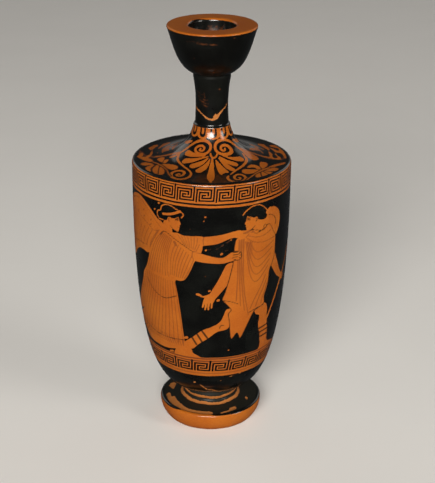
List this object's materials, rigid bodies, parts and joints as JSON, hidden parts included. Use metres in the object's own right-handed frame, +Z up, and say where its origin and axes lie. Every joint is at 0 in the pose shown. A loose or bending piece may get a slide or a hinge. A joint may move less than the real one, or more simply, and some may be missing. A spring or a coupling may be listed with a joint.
{
  "type": "lekythos",
  "caption": "Slim ancient Greek oil jar with a disc foot, a tall tapering body, a flat shoulder, a narrow neck, a bell mouth and a strap handle.",
  "frame": {"origin": "centre of the foot's underside, on the surface that the jar stands on", "axes": "+Z up along the axis of the jar, -Y towards the painted front, +Y towards the handle"},
  "size_m": [0.0978, 0.0978, 0.258],
  "materials": {
    "painted_terracotta": "glossy black slip with the orange clay left bare for the painted ornament, worn in places"
  },
  "bodies": {
    "root": {"lekythos": "painted_terracotta"}
  },
  "joints": []
}
